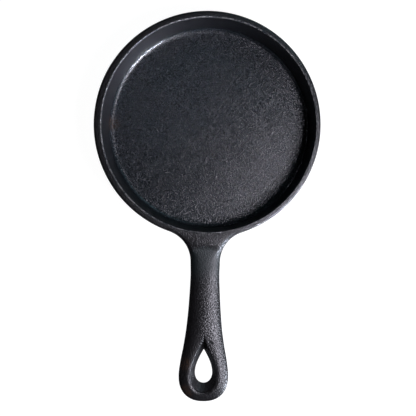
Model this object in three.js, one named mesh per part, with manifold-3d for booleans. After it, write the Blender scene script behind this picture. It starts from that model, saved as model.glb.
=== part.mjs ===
// Cast iron skillet of the 16 cm class: a round pan and a solid handle, poured as one casting.
//
// Lengths are millimetres. The origin is the centre of the flat base, +Z is up, and the handle
// points along -Y. "Reach" is the distance from the pan's centre along the handle, so it is -y.
// The casting is divided on flat planes into five named regions that meet face to face.
import * as THREE from "three";
import { mergeVertices } from "three/addons/utils/BufferGeometryUtils.js";
import Module from "manifold-3d";

// The pan, as radii and heights above the base.
const RIM_RADIUS = 80;
const RIM_HEIGHT = 27;
const RIM_OUTER_ROUND = 2;
const RIM_INNER_ROUND = 0.5;
const WALL_THICKNESS = 4.7;
const WALL_DRAFT = 0.153; // sideways lean of the wall for each millimetre of height
const FLOOR_THICKNESS = 4.5;
const FLOOR_FILLET = 3.2;
const BASE_CORNER = 4;
const ROUND_STEPS = 6;
const PAN_SIDES = 96;

// The web: two hollow arcs that lead from the pan's side into the neck of the handle.
const NECK_HALF_WIDTH = 10.5;
const WEB_ARC_RADIUS = 23.5;
const WEB_ARC_CENTRE = RIM_RADIUS + WEB_ARC_RADIUS; // from the pan's centre to an arc's centre
const NECK_REACH = Math.sqrt(WEB_ARC_CENTRE ** 2 - (NECK_HALF_WIDTH + WEB_ARC_RADIUS) ** 2);
const WEB_TANGENT_REACH = (NECK_REACH * RIM_RADIUS) / WEB_ARC_CENTRE;
const WEB_ROOT_REACH = 66; // inside the well, so that the well's wall trims the web

// The handle, which rises towards its tip. Each list holds [reach, value] points of a smooth curve.
const WIDEST_REACH = 176.5;
const HANDLE_TIP_REACH = 194.2;
const HANDLE_HALF_WIDTHS = [
  [NECK_REACH, NECK_HALF_WIDTH],
  [107, 10.35],
  [120, 10.85],
  [132, 11.6],
  [145, 12.85],
  [157, 14.65],
  [166.4, 16.4],
  [WIDEST_REACH, 17.55],
];
const HANDLE_TOP = [
  [84, RIM_HEIGHT],
  [90, 25.8],
  [95, 25.5],
  [120, 26.9],
  [150, 29.4],
  [178, 31.5],
  [196, 32.2],
];
const HANDLE_UNDERSIDE = [
  [66, 7],
  [76, 10],
  [84, 13.9],
  [95, 16.2],
  [120, 16.9],
  [150, 19.3],
  [178, 22.7],
  [196, 25],
];
const TIP_ROUNDNESS = 2.3; // superellipse exponent of the end, seen from above
const TIP_SQUARENESS = 4; // how blunt the end looks from the side
const TIP_FLAT = 0.08; // share of the width and thickness left at the very tip
const WEB_SQUARENESS = 6; // superellipse exponent of the section at the pan
const HANDLE_SQUARENESS = 2.1; // and of the section along the handle
const SECTION_POINTS = 32;

// Planes that divide the handle into its named regions.
const PAN_END_REACH = 84;
const NECK_END_REACH = 104;
const GRIP_END_REACH = 146;

// The hanging eye: a teardrop with its point towards the pan, narrower below than on top.
const EYE_TOP = { point: 151.3, end: 187.7, halfWidth: 8.95 };
const EYE_THROAT = { point: 158.8, end: 181.65, halfWidth: 6.0 };
const TEARDROP_POWER = 1.15; // higher makes the point slimmer
const EYE_SIDES = 36;
const EYE_EDGE_ROUND = 0.9;
const EYE_OVERRUN = 0.5; // share of the handle's thickness that the cutter runs past each face

const wasm = await Module();
wasm.setup();

function toSolid(geometry) {
  const bare = geometry.clone();
  bare.deleteAttribute("normal");
  bare.deleteAttribute("uv");
  const merged = mergeVertices(bare, 1e-4);
  const mesh = new wasm.Mesh({
    numProp: 3,
    vertProperties: merged.attributes.position.array,
    triVerts: new Uint32Array(merged.index.array),
  });
  return new wasm.Manifold(mesh);
}

function toGeometry(solid) {
  const mesh = solid.getMesh();
  const geometry = new THREE.BufferGeometry();
  geometry.setAttribute("position", new THREE.BufferAttribute(mesh.vertProperties, 3));
  geometry.setIndex(new THREE.BufferAttribute(mesh.triVerts, 1));
  geometry.computeVertexNormals();
  return geometry;
}

// Value at one reach of the smooth curve through a list's [reach, value] points, level at its ends.
function smoothThrough(points, reach) {
  const last = points.length - 1;
  let i = 0;
  while (i < last - 1 && reach > points[i + 1][0]) i += 1;
  const slopeAt = (k) => {
    if (k === 0 || k === last) return 0;
    return (points[k + 1][1] - points[k - 1][1]) / (points[k + 1][0] - points[k - 1][0]);
  };
  const [start, startValue] = points[i];
  const [end, endValue] = points[i + 1];
  const span = end - start;
  const t = THREE.MathUtils.clamp((reach - start) / span, 0, 1);
  const startWeight = (1 + 2 * t) * (1 - t) ** 2;
  const startLean = t * (1 - t) ** 2 * span * slopeAt(i);
  const endLean = -(t ** 2) * (1 - t) * span * slopeAt(i + 1);
  return startWeight * startValue + (1 - startWeight) * endValue + startLean + endLean;
}

// Solid of revolution about Z from a profile of radii and heights.
function turned(profile) {
  const geometry = new THREE.LatheGeometry(profile, PAN_SIDES);
  geometry.rotateX(Math.PI / 2);
  return geometry;
}

// Surface through rings of equal length, closed by a flat cap at each end.
function lofted(rings) {
  const count = rings[0].length;
  const positions = rings.flat().flatMap((point) => [point.x, point.y, point.z]);
  const triangles = [];
  for (let ring = 0; ring < rings.length - 1; ring += 1) {
    for (let i = 0; i < count; i += 1) {
      const here = ring * count + i;
      const beside = ring * count + ((i + 1) % count);
      triangles.push(here, beside, here + count, beside, beside + count, here + count);
    }
  }
  const lastRing = (rings.length - 1) * count;
  for (let i = 1; i < count - 1; i += 1) {
    triangles.push(0, i + 1, i);
    triangles.push(lastRing, lastRing + i, lastRing + i + 1);
  }
  const geometry = new THREE.BufferGeometry();
  geometry.setAttribute("position", new THREE.Float32BufferAttribute(positions, 3));
  geometry.setIndex(triangles);
  geometry.computeVertexNormals();
  return geometry;
}

// Radius of the pan's outside at a height, without the roundings.
function outerRadius(height) {
  return RIM_RADIUS - WALL_DRAFT * (RIM_HEIGHT - RIM_OUTER_ROUND - height);
}

// Radius of the well's wall at a height, without the roundings.
function innerRadius(height) {
  return outerRadius(height) - WALL_THICKNESS * Math.hypot(1, WALL_DRAFT);
}

// Radius of the flat disc of the cooking floor, inside the fillet.
function cookingRadius() {
  return innerRadius(FLOOR_THICKNESS) - FLOOR_FILLET;
}

// Bottom of the casting, up to the plane of the cooking floor.
function panFloor() {
  const profile = new THREE.Path();
  profile.moveTo(0, 0);
  profile.lineTo(outerRadius(0) - BASE_CORNER, 0);
  profile.quadraticCurveTo(outerRadius(0), 0, outerRadius(BASE_CORNER), BASE_CORNER);
  profile.lineTo(outerRadius(FLOOR_THICKNESS), FLOOR_THICKNESS);
  profile.lineTo(cookingRadius(), FLOOR_THICKNESS);
  profile.lineTo(0, FLOOR_THICKNESS);
  return turned(profile.getPoints(ROUND_STEPS));
}

// Everything above the cooking floor within the pan's outside.
function panOutside() {
  const shoulder = RIM_HEIGHT - RIM_OUTER_ROUND;
  const profile = new THREE.Path();
  profile.moveTo(0, FLOOR_THICKNESS);
  profile.lineTo(outerRadius(FLOOR_THICKNESS), FLOOR_THICKNESS);
  profile.lineTo(RIM_RADIUS, shoulder);
  profile.quadraticCurveTo(RIM_RADIUS, RIM_HEIGHT, RIM_RADIUS - RIM_OUTER_ROUND, RIM_HEIGHT);
  profile.lineTo(0, RIM_HEIGHT);
  return turned(profile.getPoints(ROUND_STEPS));
}

// The space inside the pan, run on past the rim.
function panWell() {
  const filletTop = FLOOR_THICKNESS + FLOOR_FILLET;
  const lip = innerRadius(RIM_HEIGHT);
  const floorRadius = innerRadius(FLOOR_THICKNESS);
  const profile = new THREE.Path();
  profile.moveTo(0, FLOOR_THICKNESS);
  profile.lineTo(cookingRadius(), FLOOR_THICKNESS);
  profile.quadraticCurveTo(floorRadius, FLOOR_THICKNESS, innerRadius(filletTop), filletTop);
  profile.lineTo(innerRadius(RIM_HEIGHT - RIM_INNER_ROUND), RIM_HEIGHT - RIM_INNER_ROUND);
  profile.quadraticCurveTo(lip, RIM_HEIGHT, lip + RIM_INNER_ROUND, RIM_HEIGHT);
  profile.lineTo(lip + RIM_INNER_ROUND, 2 * RIM_HEIGHT);
  profile.lineTo(0, 2 * RIM_HEIGHT);
  return turned(profile.getPoints(ROUND_STEPS));
}

// Half the width seen from above: a web arc, the grip's taper, then the rounded end.
function handleHalfWidth(reach) {
  if (reach < NECK_REACH) {
    const along = NECK_REACH - Math.max(reach, WEB_TANGENT_REACH);
    return NECK_HALF_WIDTH + WEB_ARC_RADIUS - Math.sqrt(WEB_ARC_RADIUS ** 2 - along ** 2);
  }
  const width = smoothThrough(HANDLE_HALF_WIDTHS, reach);
  const share = (1 - towardsTip(reach) ** TIP_ROUNDNESS) ** (1 / TIP_ROUNDNESS);
  return width * Math.max(share, TIP_FLAT);
}

// 0 up to the widest place of the handle, then rising to 1 at its tip.
function towardsTip(reach) {
  return Math.max(reach - WIDEST_REACH, 0) / (HANDLE_TIP_REACH - WIDEST_REACH);
}

// Cross-section of the handle at one reach: a superellipse, squarer where it meets the pan.
function handleSection(reach) {
  const top = smoothThrough(HANDLE_TOP, reach);
  const underside = smoothThrough(HANDLE_UNDERSIDE, reach);
  const bluntness = (1 - towardsTip(reach) ** TIP_SQUARENESS) ** (1 / TIP_SQUARENESS);
  const halfHeight = ((top - underside) / 2) * Math.max(bluntness, TIP_FLAT);
  const halfWidth = handleHalfWidth(reach);
  const blend = THREE.MathUtils.smoothstep(reach, PAN_END_REACH, NECK_END_REACH);
  const squareness = THREE.MathUtils.lerp(WEB_SQUARENESS, HANDLE_SQUARENESS, blend);
  const bulge = (value) => Math.sign(value) * Math.abs(value) ** (2 / squareness);
  const ring = [];
  for (let i = 0; i < SECTION_POINTS; i += 1) {
    const turn = (2 * Math.PI * (i + 0.5)) / SECTION_POINTS;
    const height = (top + underside) / 2 + halfHeight * bulge(Math.sin(turn));
    ring.push(new THREE.Vector3(halfWidth * bulge(Math.cos(turn)), -reach, height));
  }
  return ring;
}

// Stretch of the handle between two reaches, with evenly spaced sections.
function handleStretch(start, end, steps) {
  const sections = [];
  for (let i = 0; i <= steps; i += 1) {
    sections.push(handleSection(start + ((end - start) * i) / steps));
  }
  return lofted(sections);
}

// End of the handle: even sections up to its widest place, then sections that close in on the tip.
function handleEnd() {
  const evenSteps = 6;
  const roundSteps = 9;
  const sections = [];
  for (let i = 0; i < evenSteps; i += 1) {
    const share = i / evenSteps;
    sections.push(handleSection(THREE.MathUtils.lerp(GRIP_END_REACH, WIDEST_REACH, share)));
  }
  for (let i = 0; i <= roundSteps; i += 1) {
    const share = Math.sin(((Math.PI / 2) * i) / roundSteps);
    sections.push(handleSection(THREE.MathUtils.lerp(WIDEST_REACH, HANDLE_TIP_REACH, share)));
  }
  return lofted(sections);
}

// Teardrop ring grown by a margin. Level 0 lies on the handle's underside and level 1 on its top,
// so the ring follows the handle's rise.
function teardropRing({ point, end, halfWidth }, growth, level) {
  const swell = (turn) => Math.sin(turn) * Math.abs(Math.sin(turn / 2)) ** TEARDROP_POWER;
  const fullestTurn = Math.acos(-TEARDROP_POWER / (2 + TEARDROP_POWER));
  const start = point - 1.6 * growth;
  const length = end + growth - start;
  const ring = [];
  for (let i = 0; i < EYE_SIDES; i += 1) {
    const turn = (2 * Math.PI * i) / EYE_SIDES;
    const across = ((halfWidth + growth) * swell(turn)) / swell(fullestTurn);
    const reach = start + (length * (1 - Math.cos(turn))) / 2;
    const underside = smoothThrough(HANDLE_UNDERSIDE, reach);
    const top = smoothThrough(HANDLE_TOP, reach);
    ring.push(new THREE.Vector3(-across, -reach, THREE.MathUtils.lerp(underside, top, level)));
  }
  return ring;
}

// Cutter of the hanging eye, flared where it breaks through the two faces of the handle.
function eyeCutter() {
  return lofted([
    teardropRing(EYE_THROAT, 2 * EYE_EDGE_ROUND, -EYE_OVERRUN),
    teardropRing(EYE_THROAT, EYE_EDGE_ROUND, 0.02),
    teardropRing(EYE_THROAT, 0, 0.2),
    teardropRing(EYE_TOP, -EYE_EDGE_ROUND, 0.88),
    teardropRing(EYE_TOP, 0, 0.98),
    teardropRing(EYE_TOP, EYE_EDGE_ROUND, 1 + EYE_OVERRUN),
  ]);
}

function panWall() {
  const web = toSolid(handleStretch(WEB_ROOT_REACH, PAN_END_REACH, 9));
  return toGeometry(toSolid(panOutside()).add(web).subtract(toSolid(panWell())));
}

function handleEye() {
  return toGeometry(toSolid(handleEnd()).subtract(toSolid(eyeCutter())));
}

function ironMesh(name, geometry, color) {
  const material = new THREE.MeshStandardMaterial({ color, roughness: 0.6, metalness: 0.3 });
  const mesh = new THREE.Mesh(geometry, material);
  mesh.name = name;
  return mesh;
}

const skillet = new THREE.Group();
skillet.add(
  ironMesh("pan_floor", panFloor(), 0x4a4d51),
  ironMesh("pan_wall", panWall(), 0x3a3d40),
  ironMesh("handle_neck", handleStretch(PAN_END_REACH, NECK_END_REACH, 10), 0x3c3f42),
  ironMesh("handle_grip", handleStretch(NECK_END_REACH, GRIP_END_REACH, 8), 0x424447),
  ironMesh("handle_eye", handleEye(), 0x46474a),
);

export default skillet;
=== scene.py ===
"""Cast iron skillet: the visual model, its studio and its camera.

The skillet is one casting, so it is one seamless mesh. Its rows and columns run round the pan, flow
through the web into the handle and close round the hanging eye. Shapes are worked out in
millimetres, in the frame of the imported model, and written to Blender in metres. "Reach" is the
distance from the pan's centre along the handle, which points along -Y.
"""
import math

import bmesh
import bpy
import numpy as np
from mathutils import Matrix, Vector, noise


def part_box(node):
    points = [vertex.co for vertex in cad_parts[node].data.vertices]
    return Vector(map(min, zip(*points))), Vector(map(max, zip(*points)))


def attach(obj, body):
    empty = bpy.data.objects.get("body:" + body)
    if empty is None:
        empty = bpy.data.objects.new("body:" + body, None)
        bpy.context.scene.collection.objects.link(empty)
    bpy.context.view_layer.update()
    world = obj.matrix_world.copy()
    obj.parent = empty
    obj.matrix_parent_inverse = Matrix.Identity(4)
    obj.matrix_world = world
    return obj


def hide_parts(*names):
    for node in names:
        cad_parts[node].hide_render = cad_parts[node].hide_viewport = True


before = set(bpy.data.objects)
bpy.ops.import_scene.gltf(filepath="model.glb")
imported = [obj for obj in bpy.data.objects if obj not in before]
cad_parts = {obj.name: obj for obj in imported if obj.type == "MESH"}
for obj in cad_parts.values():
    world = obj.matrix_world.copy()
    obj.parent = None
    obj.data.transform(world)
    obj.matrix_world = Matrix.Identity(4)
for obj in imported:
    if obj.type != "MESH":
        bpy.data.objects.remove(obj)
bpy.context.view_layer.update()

MM = 0.001


def box_mm(node):
    """Lowest and highest corner of a CAD node, in millimetres."""
    return [np.array(corner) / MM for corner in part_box(node)]


# The pan, from the frame and from the casting's own thicknesses.
WALL_LOW, WALL_HIGH = box_mm("pan_wall")
RIM_RADIUS = WALL_HIGH[0]
RIM_HEIGHT = WALL_HIGH[2]
FLOOR_HEIGHT = WALL_LOW[2]
RIM_OUTER_ROUND = 2.0
RIM_INNER_ROUND = 0.5
RIM_FLAT_ROWS = 4
WALL_THICKNESS = 4.7
WALL_DRAFT = 0.153
FLOOR_FILLET = 3.2
BASE_CORNER = 4.0
RIM_ROUND_ROWS = 6
COLUMNS = 400
WELL_OFFSET = (1.05, -0.35)  # the core that formed the well sat a little off centre

# The web that joins the handle to the pan's side.
WEB_COLUMNS = 21
WEB_FOOT_HEIGHT = 9.0
WEB_ARC_RADIUS = 23.5
WEB_STATIONS = 22
NECK_HALF_WIDTH = 10.5
NECK_REACH = math.sqrt((RIM_RADIUS + WEB_ARC_RADIUS) ** 2 - (NECK_HALF_WIDTH + WEB_ARC_RADIUS) ** 2)
WEB_CROWN = 2.1
WEB_UNDERSIDE_LEAN = (16.0, 1.2)  # rise of the web's underside where it leaves the pan and at the neck
WEB_ROOT_DROOP = 0.75  # how much slower the underside sets off than the top

# The step where the rim's plane ends and the lower neck begins: an arch, nearer the pan in the middle.
STEP_REACH = 84.2
STEP_ARCH = 3.0
STEP_LENGTH = 4.2

# The handle. Each list holds [reach, value] points of a smooth curve.
GRIP_END_REACH = -box_mm("handle_grip")[0][1]
TIP_REACH = -box_mm("handle_eye")[0][1]
WIDEST_REACH = 176.5
WIDEST_HALF_WIDTH = box_mm("handle_eye")[1][0]
HALF_WIDTHS = [(NECK_REACH, NECK_HALF_WIDTH), (107, 10.35), (120, 10.85), (132, 11.6),
               (145, 12.85), (157, 14.65), (166.4, 16.4), (WIDEST_REACH, WIDEST_HALF_WIDTH)]
TOP_HEIGHTS = [(84, 25.5), (95, 25.5), (120, 26.9), (150, 29.4), (178, 31.5), (196, 32.2)]
UNDERSIDE_HEIGHTS = [(84, 15.4), (95, 16.2), (120, 16.9), (150, 19.3), (178, 22.7), (196, 25.0)]
TIP_POWER = 2.3
NECK_SECTION_POWER = 2.4
GRIP_SECTION_POWER = 2.02
ROUNDED_REACH = 128.0
FLAT_SHARE = 0.74
SIDE_ROWS = 16
GRIP_STATION_LENGTH = 0.9
END_SIDE_POINTS = 40
TIP_POINTS = 73

# The hanging eye: a teardrop whose wall narrows from the top edge down to the throat.
EYE_TOP = dict(point=151.3, end=187.7, half_width=8.95)
EYE_THROAT = dict(point=158.8, end=181.65, half_width=6.0)
TEARDROP_POWER = 1.15
TEARDROP_SAMPLES = 1500
POINT_GROWTH = 1.6  # how much faster the point moves out than the sides as a teardrop grows
EYE_ROUND = 0.9
EYE_DROOP = 0.5
EYE_POINT_LENGTH = 8.0
EYE_LOOP_LENGTH = 92.0
THROAT_ABOVE_UNDERSIDE = 1.8
EYE_FACE_STEPS = 12
EYE_WALL_STEPS = 9
EYE_ROUND_LOOPS = 6

# Unevenness of the cast surface.
SLOW_WAVE_LENGTH = 24.0
SLOW_WAVE_DEPTH = 0.16
QUICK_WAVE_LENGTH = 6.0
QUICK_WAVE_DEPTH = 0.02
QUICK_WAVE_SHIFT = Vector((7, 3, 1))  # so that the two waves don't start together


# ---------------------------------------------------------------- curves

def smooth_through(points, reach):
    """Values at given reaches of a smooth curve through (reach, value) points, level at its ends."""
    xs, ys = np.array(points, float).T
    slopes = np.zeros(len(xs))
    slopes[1:-1] = (ys[2:] - ys[:-2]) / (xs[2:] - xs[:-2])
    i = np.clip(np.searchsorted(xs, reach) - 1, 0, len(xs) - 2)
    span = xs[i + 1] - xs[i]
    t = np.clip((reach - xs[i]) / span, 0, 1)
    start_weight = (1 + 2 * t) * (1 - t) ** 2
    leans = t * (1 - t) ** 2 * span * slopes[i] - t ** 2 * (1 - t) * span * slopes[i + 1]
    return start_weight * ys[i] + (1 - start_weight) * ys[i + 1] + leans


def smoothstep(value):
    value = np.clip(value, 0, 1)
    return value * value * (3 - 2 * value)


def ramp(value, start, length):
    """0 up to start, 1 a length further on, smooth between."""
    return smoothstep((value - start) / length)


def hermite(start, start_lean, end, end_lean, t):
    """Point at t of the cubic curve with these ends and these leans at the ends."""
    return ((2 * t ** 3 - 3 * t ** 2 + 1) * start + (t ** 3 - 2 * t ** 2 + t) * start_lean
            + (3 * t ** 2 - 2 * t ** 3) * end + (t ** 3 - t ** 2) * end_lean)


def line(rows, end, steps):
    """Adds evenly spaced points from the last row to end."""
    start = np.array(rows[-1])
    rows += [tuple(start + (np.array(end) - start) * (i + 1) / steps) for i in range(steps)]


def bend(rows, corner, end, steps):
    """Adds a rounding from the last row to end that leaves along corner's two sides."""
    start = np.array(rows[-1])
    for i in range(steps):
        t = (i + 1) / steps
        rows.append(tuple((1 - t) ** 2 * start + 2 * t * (1 - t) * np.array(corner)
                          + t ** 2 * np.array(end)))


# ---------------------------------------------------------------- the pan

def outer_radius(height):
    return RIM_RADIUS - WALL_DRAFT * (RIM_HEIGHT - RIM_OUTER_ROUND - height)


def inner_radius(height):
    return outer_radius(height) - WALL_THICKNESS * math.hypot(1, WALL_DRAFT)


def pan_profile():
    """Rows of (radius, height) from the middle of the base, round the rim, to the middle of the
    floor, and the numbers of the two rows that the web's root lies between."""
    shoulder_start = RIM_HEIGHT - RIM_OUTER_ROUND
    lip = inner_radius(RIM_HEIGHT)
    lip_low = RIM_HEIGHT - RIM_INNER_ROUND
    fillet_top = FLOOR_HEIGHT + FLOOR_FILLET
    floor_radius = inner_radius(FLOOR_HEIGHT)
    rows = [(0.0, 0.0)]
    line(rows, (outer_radius(0) - BASE_CORNER, 0.0), 24)
    bend(rows, (outer_radius(0), 0.0), (outer_radius(BASE_CORNER), BASE_CORNER), 7)
    line(rows, (outer_radius(WEB_FOOT_HEIGHT), WEB_FOOT_HEIGHT), 4)
    foot = len(rows) - 1
    line(rows, (RIM_RADIUS, shoulder_start), SIDE_ROWS - RIM_ROUND_ROWS)
    bend(rows, (RIM_RADIUS, RIM_HEIGHT), (RIM_RADIUS - RIM_OUTER_ROUND, RIM_HEIGHT), RIM_ROUND_ROWS)
    shoulder = len(rows) - 1
    line(rows, (lip + RIM_INNER_ROUND, RIM_HEIGHT), RIM_FLAT_ROWS)
    bend(rows, (lip, RIM_HEIGHT), (inner_radius(lip_low), lip_low), 4)
    line(rows, (inner_radius(fillet_top), fillet_top), 18)
    bend(rows, (floor_radius, FLOOR_HEIGHT), (floor_radius - FLOOR_FILLET, FLOOR_HEIGHT), 9)
    line(rows, (0.0, FLOOR_HEIGHT), 38)
    return np.array(rows), foot, shoulder


def pan_points(rows, columns):
    """Points of pan rows at column numbers; column 0 faces the handle."""
    turn = 2 * np.pi * np.asarray(columns) / COLUMNS
    radius, height = rows[:, 0][:, None], rows[:, 1][:, None]
    return np.stack([radius * np.sin(turn), -radius * np.cos(turn), height + 0 * turn], axis=-1)


# ---------------------------------------------------------------- the handle

def half_width(reach):
    return smooth_through(HALF_WIDTHS, reach)


def nearness_to_edge(across, reach):
    """0 on the handle's middle line and 1 on its outline, seen from above."""
    past = np.maximum(reach - WIDEST_REACH, 0) / (TIP_REACH - WIDEST_REACH)
    sideways = np.abs(across) / half_width(np.minimum(reach, WIDEST_REACH))
    return np.minimum((sideways ** TIP_POWER + past ** TIP_POWER) ** (1 / TIP_POWER), 1)


def section_power(reach):
    """Superellipse exponent of the handle's section: flat-topped at the neck, rounder further out."""
    rounded = smoothstep((reach - NECK_REACH) / (ROUNDED_REACH - NECK_REACH))
    return NECK_SECTION_POWER + (GRIP_SECTION_POWER - NECK_SECTION_POWER) * rounded


def handle_height(across, reach, side):
    """Height of the handle's top (side 1) or underside (side -1)."""
    top = smooth_through(TOP_HEIGHTS, reach)
    underside = smooth_through(UNDERSIDE_HEIGHTS, reach)
    power = section_power(reach)
    swell = (1 - nearness_to_edge(across, reach) ** power) ** (1 / power)
    return (top + underside) / 2 + side * (top - underside) / 2 * swell


def side_rows(power):
    """(nearness, share of the half height) of each row down the side, from the top's flat share to
    the underside's."""
    first = math.acos(FLAT_SHARE ** (power / 2))
    turns = first * (1 - 2 * np.arange(SIDE_ROWS + 1) / SIDE_ROWS)
    rise = np.sign(turns) * np.abs(np.sin(turns)) ** (2 / power)
    return np.cos(turns) ** (2 / power), rise


def side_points(across, reach, rise):
    """Points on the rounded side, where across and reach already lie on the row's outline."""
    top = smooth_through(TOP_HEIGHTS, reach)
    underside = smooth_through(UNDERSIDE_HEIGHTS, reach)
    height = (top + underside) / 2 + rise * (top - underside) / 2
    return np.stack(np.broadcast_arrays(across, -reach, height), axis=-1)


def surface_points(across, reach, side):
    return np.stack(np.broadcast_arrays(across, -reach, handle_height(across, reach, side)), axis=-1)


def closed_ring(top_row, right_side, bottom_row, left_side):
    """One ring round the handle: over the top to the right, down, back under, and up the left."""
    return np.concatenate([top_row, right_side[1:-1], bottom_row[::-1], left_side[1:-1][::-1]])


def handle_ring(reach):
    """Ring of points round the handle at one reach."""
    shares = np.arange(-WEB_COLUMNS, WEB_COLUMNS + 1) / WEB_COLUMNS
    across = shares * FLAT_SHARE * half_width(reach)
    nearness, rise = side_rows(section_power(reach))
    right = side_points(nearness * half_width(reach), reach, rise)
    left = right * (-1, 1, 1)
    return closed_ring(surface_points(across, reach, 1), right,
                       surface_points(across, reach, -1), left)


def root_ring(rows, foot, shoulder):
    """Ring of pan points round the web's root, in the order of handle_ring."""
    columns = np.arange(-WEB_COLUMNS, WEB_COLUMNS + 1)
    side = rows[foot:shoulder + 1][::-1]
    return closed_ring(pan_points(rows[[shoulder]], columns)[0],
                       pan_points(side, [WEB_COLUMNS])[:, 0],
                       pan_points(rows[[foot]], columns)[0],
                       pan_points(side, [-WEB_COLUMNS])[:, 0])


def ring_shares(rows, foot, shoulder):
    """For each point of a ring: its share across (-1 to 1), and its depth share below the top, at
    the root and at the neck."""
    shares = np.arange(-WEB_COLUMNS, WEB_COLUMNS + 1) / WEB_COLUMNS
    flat = np.zeros(len(shares))
    root_depth = (RIM_HEIGHT - rows[foot:shoulder + 1][::-1, 1]) / (RIM_HEIGHT - WEB_FOOT_HEIGHT)
    _, rise = side_rows(NECK_SECTION_POWER)
    neck_depth = (rise[0] - rise) / (2 * rise[0])
    ones = np.ones(SIDE_ROWS + 1)
    across = closed_ring(shares, ones, shares, -ones)
    at_root = closed_ring(flat, root_depth, flat + 1, root_depth)
    at_neck = closed_ring(flat, neck_depth, flat + 1, neck_depth)
    return across, at_root, at_neck


def web_rings(rows, foot, shoulder):
    """Rings that flow from the pan's side to the neck. Seen from above each point follows a smooth
    curve, which is the hollow arc at the web's two edges. Its height lies between the stepped top
    and the underside, which leaves the pan's side in a fillet."""
    start = root_ring(rows, foot, shoulder)
    end = handle_ring(NECK_REACH)
    across, root_depth, neck_depth = ring_shares(rows, foot, shoulder)
    edge_weight = np.abs(across) ** 3
    radius = np.hypot(start[:, 0], start[:, 1])
    outward = start[:, :2] / radius[:, None]
    inward_along = np.stack([outward[:, 1] * np.sign(across), -outward[:, 0] * np.sign(across)],
                            axis=1)
    sweep = math.pi / 2 - 2 * math.pi * WEB_COLUMNS / COLUMNS
    arc_pull = 4 * math.tan(sweep / 4) * WEB_ARC_RADIUS
    span = NECK_REACH - radius
    depth_pull = 1 - WEB_ROOT_DROOP * root_depth
    lean = (inward_along * (edge_weight * arc_pull)[:, None]
            + outward * ((1 - edge_weight) * span * depth_pull)[:, None])
    end_pull = edge_weight * arc_pull + (1 - edge_weight) * span
    end_lean = np.stack([0 * end_pull, -end_pull], axis=1)
    rings = [start]
    for i in range(1, WEB_STATIONS):
        t = i / WEB_STATIONS
        plan = hermite(start[:, :2], lean, end[:, :2], end_lean, t)
        depth = root_depth + (neck_depth - root_depth) * smoothstep(t)
        reach = -plan[:, 1]
        neck_top = handle_top_edge(across)
        step_at = STEP_REACH + STEP_ARCH * across ** 2
        lowered = ramp(reach, step_at, STEP_LENGTH)
        rim_plane = RIM_HEIGHT - WEB_CROWN * across ** 2 * smoothstep(2 * t)
        top = rim_plane + (neck_top - rim_plane) * lowered
        underside = hermite(WEB_FOOT_HEIGHT, WEB_UNDERSIDE_LEAN[0],
                            neck_underside(across), WEB_UNDERSIDE_LEAN[1], t)
        height = top + (underside - top) * depth
        rings.append(np.column_stack([plan, height]))
    rings.append(end)
    return rings


def handle_top_edge(across):
    """Height of the neck's top row, which the step comes down to."""
    return handle_height(across * FLAT_SHARE * half_width(NECK_REACH), NECK_REACH, 1)


def neck_underside(across):
    return handle_height(across * FLAT_SHARE * half_width(NECK_REACH), NECK_REACH, -1)


# ---------------------------------------------------------------- the handle's end

def outline_points(nearness):
    """(across, reach) of points round the handle's end at a nearness to its outline, from the right
    of the last grip ring, round the tip, to its left."""
    straight = np.linspace(GRIP_END_REACH, WIDEST_REACH, END_SIDE_POINTS)[:-1]
    turns = np.linspace(0, math.pi, TIP_POINTS)
    sideways = np.sign(np.cos(turns)) * np.abs(np.cos(turns)) ** (2 / TIP_POWER)
    forwards = np.sin(turns) ** (2 / TIP_POWER)
    right = np.stack([nearness * half_width(straight), straight], axis=1)
    tip = np.stack([nearness * WIDEST_HALF_WIDTH * sideways,
                    WIDEST_REACH + nearness * (TIP_REACH - WIDEST_REACH) * forwards], axis=1)
    left = right[::-1] * (-1, 1)
    return np.concatenate([right, tip, left])


def teardrop(shape, growth, shares):
    """(across, reach) at perimeter shares 0 to 1 of a teardrop grown by a margin. Share 0 is its
    point, and the shares run down its right side, round its end and back up its left side."""
    turns = np.linspace(0, math.pi, TEARDROP_SAMPLES)
    swell = np.sin(turns) * np.sin(turns / 2) ** TEARDROP_POWER
    across = (shape["half_width"] + growth) * swell / swell.max()
    point = shape["point"] - POINT_GROWTH * growth
    reach = point + (shape["end"] + growth - point) * (1 - np.cos(turns)) / 2
    along = np.concatenate([[0], np.cumsum(np.hypot(np.diff(across), np.diff(reach)))])
    mirrored = shares > 0.5
    length = np.where(mirrored, 1 - shares, shares) * 2 * along[-1]
    side = np.where(mirrored, -1, 1)
    return np.stack([side * np.interp(length, along, across),
                     np.interp(length, along, reach)], axis=1)


def eye_loop_shares(outline_count):
    """Perimeter shares of the eye's loop points, matched to the outer loop: half the last grip
    ring's top row, the outline, and the other half of the top row."""
    point_share = EYE_POINT_LENGTH / EYE_LOOP_LENGTH
    near_point = np.linspace(0, point_share, WEB_COLUMNS + 1)
    round_end = np.linspace(point_share, 1 - point_share, outline_count)
    return np.concatenate([near_point[:-1], round_end, 1 - near_point[::-1][1:-1]])


def eye_face(side, shares, inner_shape, inner_growth):
    """Grid from the outer loop to the eye's edge, on the top (side 1) or the underside (-1)."""
    outline = outline_points(FLAT_SHARE)
    top_row = np.arange(0, WEB_COLUMNS) / WEB_COLUMNS * FLAT_SHARE * half_width(GRIP_END_REACH)
    right_row = np.stack([top_row, np.full(WEB_COLUMNS, GRIP_END_REACH)], axis=1)
    left_row = (right_row * (-1, 1))[::-1][:-1]
    outer = np.concatenate([right_row, outline, left_row])
    inner = teardrop(inner_shape, inner_growth, shares)
    rings = []
    for i in range(EYE_FACE_STEPS + 1):
        inwards = i / EYE_FACE_STEPS
        plan = outer + (inner - outer) * inwards
        points = surface_points(plan[:, 0], plan[:, 1], side)
        points[:, 2] -= side * EYE_DROOP * inwards ** 3
        rings.append(points)
    return rings


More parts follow.
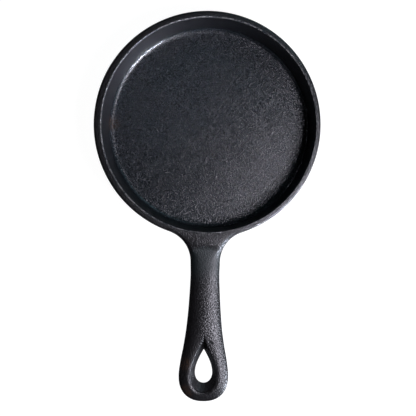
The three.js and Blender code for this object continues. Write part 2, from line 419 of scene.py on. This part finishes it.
def eye_wall(shares):
    """Loops down the eye's wall: a rounded top edge, the drafted wall, a rounded bottom edge."""
    loops = []
    turns = np.linspace(0, math.pi / 2, EYE_ROUND_LOOPS)
    for turn in turns:
        plan = teardrop(EYE_TOP, EYE_ROUND * (1 - math.sin(turn)), shares)
        points = surface_points(plan[:, 0], plan[:, 1], 1)
        points[:, 2] -= EYE_DROOP + EYE_ROUND * (1 - math.cos(turn))
        loops.append(points)
    wall_top = loops[-1]
    throat = teardrop(EYE_THROAT, 0, shares)
    throat_points = surface_points(throat[:, 0], throat[:, 1], -1)
    throat_points[:, 2] += EYE_DROOP + THROAT_ABOVE_UNDERSIDE
    for i in range(1, EYE_WALL_STEPS):
        loops.append(wall_top + (throat_points - wall_top) * (i / EYE_WALL_STEPS))
    for turn in turns:
        plan = teardrop(EYE_THROAT, THROAT_ABOVE_UNDERSIDE * (1 - math.cos(turn)), shares)
        points = surface_points(plan[:, 0], plan[:, 1], -1)
        points[:, 2] += EYE_DROOP + THROAT_ABOVE_UNDERSIDE * (1 - math.sin(turn))
        loops.append(points)
    return loops


# ---------------------------------------------------------------- the mesh

class Surface:
    """Collects grids of points as quads; shared edges are welded afterwards."""

    def __init__(self):
        self.points = []
        self.quads = []
        self.count = 0

    def grid(self, rows, closed=False, keep=None):
        """Adds the quads between rows of equal length; keep says which (row, column) to add."""
        rows = np.asarray(rows, float)
        height, width = rows.shape[:2]
        first = self.count
        self.points.append(rows.reshape(-1, 3))
        self.count += height * width
        for r in range(height - 1):
            for c in range(width if closed else width - 1):
                if keep and not keep(r, c):
                    continue
                d = (c + 1) % width
                self.quads.append((first + r * width + c, first + r * width + d,
                                   first + (r + 1) * width + d, first + (r + 1) * width + c))


def skillet_surface():
    surface = Surface()
    rows, foot, shoulder = pan_profile()

    def outside_root(row, column):
        from_handle = min(column, COLUMNS - 1 - column)
        return not (foot <= row < shoulder and from_handle < WEB_COLUMNS)

    pan = pan_points(rows, np.arange(COLUMNS))
    in_well = np.clip((np.arange(len(rows)) - shoulder) / RIM_FLAT_ROWS, 0, 1)
    pan[:, :, :2] += in_well[:, None, None] * WELL_OFFSET
    surface.grid(pan, closed=True, keep=outside_root)
    surface.grid(web_rings(rows, foot, shoulder), closed=True)
    stations = round((GRIP_END_REACH - NECK_REACH) / GRIP_STATION_LENGTH)
    reaches = np.linspace(NECK_REACH, GRIP_END_REACH, stations + 1)
    surface.grid([handle_ring(reach) for reach in reaches], closed=True)
    nearness, rise = side_rows(GRIP_SECTION_POWER)
    side_strips = []
    for near, lift in zip(nearness, rise):
        outline = outline_points(near)
        side_strips.append(side_points(outline[:, 0], outline[:, 1], lift))
    surface.grid(side_strips)
    shares = eye_loop_shares(len(side_strips[0]))
    surface.grid(eye_face(1, shares, EYE_TOP, EYE_ROUND), closed=True)
    surface.grid(eye_wall(shares), closed=True)
    surface.grid(eye_face(-1, shares, EYE_THROAT, THROAT_ABOVE_UNDERSIDE), closed=True)
    return surface


def casting_waviness(points, normals):
    """Moves points a little way in, as sand moulds leave a casting slightly uneven."""
    moved = points.copy()
    for i, (point, normal) in enumerate(zip(points, normals)):
        place = Vector(point)
        slow = noise.noise(place / SLOW_WAVE_LENGTH)
        quick = noise.noise(place / QUICK_WAVE_LENGTH + QUICK_WAVE_SHIFT)
        depth = SLOW_WAVE_DEPTH * (0.5 + 0.5 * slow) + QUICK_WAVE_DEPTH * (0.5 + 0.5 * quick)
        moved[i] -= normal * depth
    moved[:, 2] = np.maximum(moved[:, 2], 0)
    return moved


# Where one skin passes into the next: ramps as (start, length), in millimetres.
WALL_SKIN_LIFT = (1.2, 2.5)  # above the cooking floor
FILLET_SKIN_LIFT = (0.03, 0.4)  # above the cooking floor
NECK_SKIN_START = (1, 3)  # beyond the step
NECK_SKIN_END = (99, 16)  # reach
NECK_SKIN_HALF_WIDTH = 14
NECK_STEP_HALF_WIDTH = 10
OUTSIDE_SKIN_START = (0, 1.5)  # beyond the lip
BASE_SKIN_END = (0, 2.5)  # above the base
LIP_MARGIN = 0.1
LIP_HALF_WIDTH = 0.45
LIP_LOWEST = 26.2
GRAIN_LOSS = dict(wall=0.95, fillet=0.5, outside=0.15, neck=0.4)


def finish_masks(points):
    """Shares, point by point, that the iron's material reads: depth of the sand grain, the lip's
    wear to grey metal together with a highlight painted on its rounded edge, smooth skin of the
    well's side wall, dark skin of the neck, and duller skin of everything outside the well."""
    across, reach, height = points[:, 0], -points[:, 1], points[:, 2]
    radius = np.hypot(across - WELL_OFFSET[0], reach + WELL_OFFSET[1])
    lip_radius = inner_radius(RIM_HEIGHT)
    in_well = radius < lip_radius - LIP_MARGIN
    lift = height - FLOOR_HEIGHT
    wall = in_well * ramp(lift, *WALL_SKIN_LIFT)
    fillet = in_well * ramp(lift, *FILLET_SKIN_LIFT) * (1 - wall)
    # Pale band round the lip: partly wear to grey metal, partly a painted highlight on its rounded
    # edge.
    lip = np.exp(-((radius - lip_radius - LIP_MARGIN) / LIP_HALF_WIDTH) ** 2) * (height > LIP_LOWEST)
    step_at = STEP_REACH + STEP_ARCH * (across / NECK_STEP_HALF_WIDTH) ** 2
    past_step = ramp(reach - step_at, *NECK_SKIN_START) * (1 - ramp(reach, *NECK_SKIN_END))
    neck = past_step * (np.abs(across) < NECK_SKIN_HALF_WIDTH)
    outside = np.maximum(ramp(radius - lip_radius, *OUTSIDE_SKIN_START),
                         1 - ramp(height, *BASE_SKIN_END))
    grain = ((1 - GRAIN_LOSS["wall"] * wall) * (1 - GRAIN_LOSS["fillet"] * fillet)
             * (1 - GRAIN_LOSS["outside"] * outside) * (1 - GRAIN_LOSS["neck"] * neck))
    return {"grain": grain, "lip": lip, "wall": wall, "neck": neck, "outside": outside}


def write_masks(mesh, masks):
    for name, shares in masks.items():
        layer = mesh.attributes.new(name, "FLOAT", "POINT")
        layer.data.foreach_set("value", shares.astype(np.float32))


def make_skillet():
    """The casting's object: welded, masked for its material and made a little uneven."""
    surface = skillet_surface()
    mesh = bpy.data.meshes.new("skillet_casting")
    mesh.from_pydata(np.concatenate(surface.points) * MM, [], surface.quads)
    body = bmesh.new()
    body.from_mesh(mesh)
    bmesh.ops.remove_doubles(body, verts=body.verts, dist=1e-6)
    bmesh.ops.dissolve_degenerate(body, edges=body.edges, dist=1e-7)
    bmesh.ops.recalc_face_normals(body, faces=body.faces)
    open_edges = sum(1 for edge in body.edges if len(edge.link_faces) != 2)
    print("skillet mesh:", len(body.verts), "points,", len(body.faces), "faces,",
          open_edges, "open edges, volume", round(body.calc_volume() * 1e9), "mm3")
    body.to_mesh(mesh)
    body.free()
    points = np.array([vertex.co for vertex in mesh.vertices]) / MM
    normals = np.array([vertex.normal for vertex in mesh.vertices])
    write_masks(mesh, finish_masks(points))
    moved = casting_waviness(points, normals) * MM
    mesh.vertices.foreach_set("co", moved.ravel())
    for polygon in mesh.polygons:
        polygon.use_smooth = True
    mesh.update()
    skillet = bpy.data.objects.new("skillet_casting", mesh)
    bpy.context.scene.collection.objects.link(skillet)
    return skillet


# ---------------------------------------------------------------- material

# The sand grain, in millimetres, and its pale tips.
GRAIN_LENGTH = 1.0
GRAIN_DEPTH = 0.137
GRAIN_RANGE = (0.1, 0.75)
SALT_LENGTH = 0.85
SALT_RANGE = (0.47, 0.59)
SALT_COLOUR = (0.031, 0.034, 0.038)

# The skin: glossy on the cooking floor, duller elsewhere, a little uneven everywhere.
PATCH_LENGTH = 26
PATCH_RANGE = (0.35, 0.65)
SKIN_COLOURS = ((0.0030, 0.0055, 0.0068), (0.0050, 0.0058, 0.0072))
OUTSIDE_COLOUR = (0.0050, 0.0042, 0.0042)
OUTSIDE_SHARE = 0.85
WALL_COLOUR = (0.0020, 0.0023, 0.0030)
NECK_COLOUR = (0.003, 0.006, 0.006)
PLAIN_ROUGHNESS = 0.25
WALL_ROUGHNESS = 0.35
OUTSIDE_ROUGHNESS = 0.36
NECK_ROUGHNESS = 0.50
PATCH_ROUGHNESS = 0.05
PIT_ROUGHNESS = 0.3

# Grey metal, also painted along the lip as a highlight, rust bloom, and nicks whose dents are
# painted dark as shade. Their places are (x, y, z, radius) in millimetres.
# Grey of rubbed metal; along the lip it is also a painted highlight.
BARE_AND_HIGHLIGHT_COLOUR = (0.17, 0.165, 0.16)
RAGGED_LENGTH = 2.2
RAGGED_RANGE = (0.38, 0.62)
BLOOM_COLOUR = (0.030, 0.018, 0.012)
BLOOM_RANGE = (0.35, 0.7)
# Painted shade: near-black in the nicks' dents.
NICK_SHADE_COLOUR = (0.001, 0.001, 0.001)
NICK_DEPTH_IN_GRAINS = 2.0
SPOT_CORE = 0.4
BLOOMS = ((-70.0, 2.0, 5.0, 7.0), (-12.0, -187.0, 30.0, 6.5), (-13.0, -168.0, 30.0, 6.0))
SPECKS = ((-1.0, -143.0, 28.8, 0.45), (3.0, -152.4, 29.4, 0.5), (-24.0, 46.0, 4.5, 0.4),
          (-36.0, -3.6, 4.5, 0.45), (-36.6, -2.6, 4.5, 0.5), (-37.0, -1.6, 4.5, 0.4),
          (-0.5, -135.0, 28.0, 0.3), (-3.8, -120.0, 26.8, 0.3))
NICKS = ((4.4, -152.4, 29.1, 1.4), (5.6, -153.2, 29.0, 1.3))


class Shading:
    """Node-building helpers for one material."""

    def __init__(self, name):
        self.material = bpy.data.materials.new(name)
        self.material.use_nodes = True
        self.tree = self.material.node_tree
        self.shader = self.tree.nodes["Principled BSDF"]
        self.place = self.tree.nodes.new("ShaderNodeTexCoord").outputs["Object"]

    def put(self, socket, value):
        """Links a socket, or sets a number, a vector or a colour, on an input."""
        if hasattr(value, "links"):
            self.tree.links.new(value, socket)
        else:
            socket.default_value = (*value, 1) if socket.type == "RGBA" else value

    def math(self, operation, *values):
        node = self.tree.nodes.new("ShaderNodeMath")
        node.operation = operation
        for socket, value in zip(node.inputs, values):
            self.put(socket, value)
        return node.outputs[0]

    def attribute(self, name):
        node = self.tree.nodes.new("ShaderNodeAttribute")
        node.attribute_name = name
        return node.outputs["Fac"]

    def noise(self, length, detail, roughness=0.5):
        """Soft noise, 0 to 1, whose largest lumps are about a length across."""
        node = self.tree.nodes.new("ShaderNodeTexNoise")
        self.put(node.inputs["Vector"], self.place)
        self.put(node.inputs["Scale"], 1 / (length * MM))
        self.put(node.inputs["Detail"], detail)
        self.put(node.inputs["Roughness"], roughness)
        return node.outputs["Fac"]

    def between(self, value, low, high):
        """0 where value is at low, 1 at high, smooth between."""
        node = self.tree.nodes.new("ShaderNodeMapRange")
        node.interpolation_type = "SMOOTHSTEP"
        for name, given in (("Value", value), ("From Min", low), ("From Max", high)):
            self.put(node.inputs[name], given)
        return node.outputs[0]

    def mix(self, share, first, second):
        """Colour that is first at share 0 and second at share 1."""
        node = self.tree.nodes.new("ShaderNodeMix")
        node.data_type = "RGBA"
        self.put(node.inputs[0], share)
        self.put(node.inputs[6], first)
        self.put(node.inputs[7], second)
        return node.outputs[2]

    def grains(self, length):
        """Distance, in grain lengths, to the nearest of the scattered sand grains."""
        node = self.tree.nodes.new("ShaderNodeTexVoronoi")
        self.put(node.inputs["Vector"], self.place)
        self.put(node.inputs["Scale"], 1 / (length * MM))
        return node.outputs["Distance"]

    def spot(self, x, y, z, radius):
        """1 round a point of the object, falling to 0 at a radius; all in millimetres."""
        node = self.tree.nodes.new("ShaderNodeVectorMath")
        node.operation = "DISTANCE"
        self.put(node.inputs[0], self.place)
        self.put(node.inputs[1], (x * MM, y * MM, z * MM))
        return self.between(node.outputs["Value"], radius * MM, SPOT_CORE * radius * MM)

    def spots(self, places):
        """Several spots in one mask."""
        total = 0.0
        for place in places:
            total = self.math("MAXIMUM", total, self.spot(*place))
        return total


def iron_material():
    """Oil-seasoned sand casting: dark glossy skin over pebbled grain, smooth on the well's side,
    duller outside and on the neck, rubbed to grey metal along the lip, where a highlight is also
    painted, with a little rust bloom and a few marks, whose nicks are painted dark as shade."""
    iron = Shading("seasoned_cast_iron")
    grain, lip, wall, neck, outside = (
        iron.attribute(name) for name in ("grain", "lip", "wall", "neck", "outside"))

    fine = iron.noise(GRAIN_LENGTH, detail=1)
    patches = iron.noise(PATCH_LENGTH, detail=3, roughness=0.55)
    dips = iron.between(iron.grains(GRAIN_LENGTH), *GRAIN_RANGE)
    grain_height = iron.math("MULTIPLY", iron.math("ADD", dips, fine), grain)
    nick_dent_and_shade = iron.spots(NICKS)
    height = iron.math("SUBTRACT", grain_height, iron.math("MULTIPLY", nick_dent_and_shade, NICK_DEPTH_IN_GRAINS))
    bump = iron.tree.nodes.new("ShaderNodeBump")
    iron.put(bump.inputs["Distance"], GRAIN_DEPTH * MM)
    iron.put(bump.inputs["Height"], height)
    iron.put(iron.shader.inputs["Normal"], bump.outputs["Normal"])

    skin = iron.mix(iron.between(patches, *PATCH_RANGE), *SKIN_COLOURS)
    salt = iron.between(iron.noise(SALT_LENGTH, detail=0), *SALT_RANGE)
    skin = iron.mix(iron.math("MULTIPLY", salt, grain), skin, SALT_COLOUR)
    skin = iron.mix(iron.math("MULTIPLY", outside, OUTSIDE_SHARE), skin, OUTSIDE_COLOUR)
    skin = iron.mix(wall, skin, WALL_COLOUR)
    skin = iron.mix(neck, skin, NECK_COLOUR)
    bloom = iron.math("MULTIPLY", iron.spots(BLOOMS), iron.between(fine, *BLOOM_RANGE))
    skin = iron.mix(bloom, skin, BLOOM_COLOUR)
    # Grey along the lip: partly wear, partly a painted highlight on its rounded edge. The specks are
    # scratches to grey metal.
    ragged = iron.between(iron.noise(RAGGED_LENGTH, detail=3), *RAGGED_RANGE)
    lip_wear_and_highlight = iron.math("MULTIPLY", lip, ragged)
    bare_and_highlight = iron.math("MAXIMUM", lip_wear_and_highlight, iron.spots(SPECKS))
    skin = iron.mix(bare_and_highlight, skin, BARE_AND_HIGHLIGHT_COLOUR)
    # The nicks' dents are painted near-black: painted shade.
    iron.put(iron.shader.inputs["Base Color"], iron.mix(nick_dent_and_shade, skin, NICK_SHADE_COLOUR))

    uneven = iron.math("MULTIPLY", iron.math("SUBTRACT", patches, 0.5), PATCH_ROUGHNESS)
    pit_share = iron.math("MULTIPLY", grain, PIT_ROUGHNESS)
    pitted = iron.math("MULTIPLY", iron.math("SUBTRACT", 0.5, fine), pit_share)
    skin_roughness = iron.math("ADD", PLAIN_ROUGHNESS, iron.math("ADD", uneven, pitted))
    dull = iron.math("ADD", iron.math("MULTIPLY", outside, OUTSIDE_ROUGHNESS - PLAIN_ROUGHNESS),
                     iron.math("MULTIPLY", neck, NECK_ROUGHNESS - OUTSIDE_ROUGHNESS))
    dull = iron.math("ADD", dull, iron.math("MULTIPLY", wall, WALL_ROUGHNESS - PLAIN_ROUGHNESS))
    dull = iron.math("ADD", dull, iron.math("MULTIPLY", nick_dent_and_shade, 1 - OUTSIDE_ROUGHNESS))
    iron.put(iron.shader.inputs["Roughness"], iron.math("ADD", skin_roughness, dull))
    iron.put(iron.shader.inputs["Specular IOR Level"], 0.5)
    return iron.material


# ---------------------------------------------------------------- studio

# The camera looks straight down. Its frame is FRAME_WIDTH wide at the rim's plane, in millimetres,
# and it stands CAMERA_ASIDE to the right of the frame's centre.
CAMERA_ROLL = math.radians(0.86)
CAMERA_HEIGHT = 505.0
CAMERA_ASIDE = 7.0
FRAME_WIDTH = 291.9
FRAME_CENTRE = (1.5, -58.8)

# The lights, in metres and degrees.
LIGHT_AIM = Vector((0, -0.06, 0.02))
LIGHT_DISTANCE = 0.42
STUDIO_LIGHTS = (
    # name, azimuth, elevation, size, watts, colour
    ("key", -18, 56, 0.16, 2.0, (0.98, 0.95, 1.08)),
    ("low_window", -38, 14, 0.12, 2.8, (0.90, 0.97, 1.12)),
    ("back", 60, 30, 0.16, 0.12, (0.6, 1.1, 1.3)),
)
# A narrow beam on the well's side wall, opposite the window: its name, place, aim, size, watts,
# colour and spread.
WALL_GLINT = ("wall_glint", (0.321, -0.311, 0.121), (-0.052, 0.046, 0.014), 0.04, 0.062,
              (0.90, 0.95, 1.15), 21)
WORLD_BRIGHTNESS = 0.005

# The stage, in metres.
FLOOR_RADIUS = 1.2
FLOOR_GAP = 0.0002
FLOOR_BRIGHTNESS = 0.12
FLOOR_GLOW = 0.985
BACKDROP_CURVE = ((2.5, -FLOOR_GAP), (3.4, 0.4), (4.0, 1.4), (4.2, 4.0))  # (radius, height)
BACKDROP_BRIGHTNESS = 0.1
BACKDROP_GLOW = 0.95
STAGE_SIDES = 64


def make_camera():
    data = bpy.data.cameras.new("camera")
    data.angle = 2 * math.atan(FRAME_WIDTH / 2 / CAMERA_HEIGHT)
    data.shift_x = -CAMERA_ASIDE / FRAME_WIDTH
    camera = bpy.data.objects.new("camera", data)
    camera.location = ((FRAME_CENTRE[0] + CAMERA_ASIDE) * MM, FRAME_CENTRE[1] * MM,
                       (RIM_HEIGHT + CAMERA_HEIGHT) * MM)
    camera.rotation_euler = (0, 0, CAMERA_ROLL)
    bpy.context.scene.collection.objects.link(camera)
    bpy.context.scene.camera = camera


def make_light(name, place, aim, size, power, colour, spread=180):
    data = bpy.data.lights.new(name, "AREA")
    data.shape = "DISK"
    data.size = size
    data.energy = power
    data.color = colour
    data.spread = math.radians(spread)
    light = bpy.data.objects.new(name, data)
    light.location = place
    light.rotation_euler = (Vector(aim) - Vector(place)).to_track_quat("-Z", "Y").to_euler()
    bpy.context.scene.collection.objects.link(light)


def make_lights():
    """Soft discs round the skillet's middle, placed by azimuth and elevation, and the narrow beam."""
    for name, azimuth, elevation, size, power, colour in STUDIO_LIGHTS:
        turn, lift = math.radians(azimuth), math.radians(elevation)
        way = Vector((math.cos(turn) * math.cos(lift), math.sin(turn) * math.cos(lift),
                      math.sin(lift)))
        make_light(name, LIGHT_AIM + LIGHT_DISTANCE * way, LIGHT_AIM, size, power, colour)
    make_light(*WALL_GLINT)


def make_stage_mesh(name, points, faces, brightness, glow):
    """Floor, haze or backdrop: matt, and glowing a little so that it stays pale in shadow. With no
    brightness it is clear, and adds only its glow to what lies behind it."""
    mesh = bpy.data.meshes.new(name)
    mesh.from_pydata(points, [], faces)
    stage = bpy.data.objects.new(name, mesh)
    bpy.context.scene.collection.objects.link(stage)
    look = Shading(name)
    nodes, links = look.tree.nodes, look.tree.links
    glow_node = nodes.new("ShaderNodeEmission")
    look.put(glow_node.inputs["Strength"], glow)
    if brightness:
        under = nodes.new("ShaderNodeBsdfDiffuse")
        look.put(under.inputs["Color"], (brightness, brightness, brightness))
    else:
        under = nodes.new("ShaderNodeBsdfTransparent")
    both = nodes.new("ShaderNodeAddShader")
    links.new(glow_node.outputs[0], both.inputs[0])
    links.new(under.outputs[0], both.inputs[1])
    links.new(both.outputs[0], nodes["Material Output"].inputs["Surface"])
    nodes.remove(look.shader)
    mesh.materials.append(look.material)
    return stage


def make_stage():
    """A floor disc that takes a faint shadow, a thin glow just above it that makes it pale, and a
    pale bowl far round it. Only the camera sees the glow and the bowl, so they light nothing."""
    sides = STAGE_SIDES
    turns = [2 * math.pi * i / sides for i in range(sides)]

    def circle(radius, height):
        return [(radius * math.cos(turn), radius * math.sin(turn), height) for turn in turns]

    make_stage_mesh("studio_floor", circle(FLOOR_RADIUS, -2 * FLOOR_GAP), [range(sides)],
                    FLOOR_BRIGHTNESS, 0.0)
    glow = make_stage_mesh("studio_glow", circle(FLOOR_RADIUS, -FLOOR_GAP), [range(sides)],
                           0.0, FLOOR_GLOW)
    rows = [circle(FLOOR_RADIUS, -FLOOR_GAP)] + [circle(*place) for place in BACKDROP_CURVE]
    faces = [(r * sides + i, r * sides + (i + 1) % sides,
              (r + 1) * sides + (i + 1) % sides, (r + 1) * sides + i)
             for r in range(len(rows) - 1) for i in range(sides)]
    backdrop = make_stage_mesh("studio_backdrop", sum(rows, []), faces,
                               BACKDROP_BRIGHTNESS, BACKDROP_GLOW)
    for unlit in (glow, backdrop):
        unlit.visible_diffuse = unlit.visible_glossy = unlit.visible_shadow = False


skillet = make_skillet()
skillet.data.materials.append(iron_material())
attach(skillet, "root")
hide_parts("pan_floor", "pan_wall", "handle_neck", "handle_grip", "handle_eye")

make_camera()
make_lights()
make_stage()
world = bpy.data.worlds.new("studio")
bpy.context.scene.world = world
world.use_nodes = True
world.node_tree.nodes["Background"].inputs["Color"].default_value = (1, 1, 1, 1)
world.node_tree.nodes["Background"].inputs["Strength"].default_value = WORLD_BRIGHTNESS
bpy.context.scene.view_settings.view_transform = "Standard"
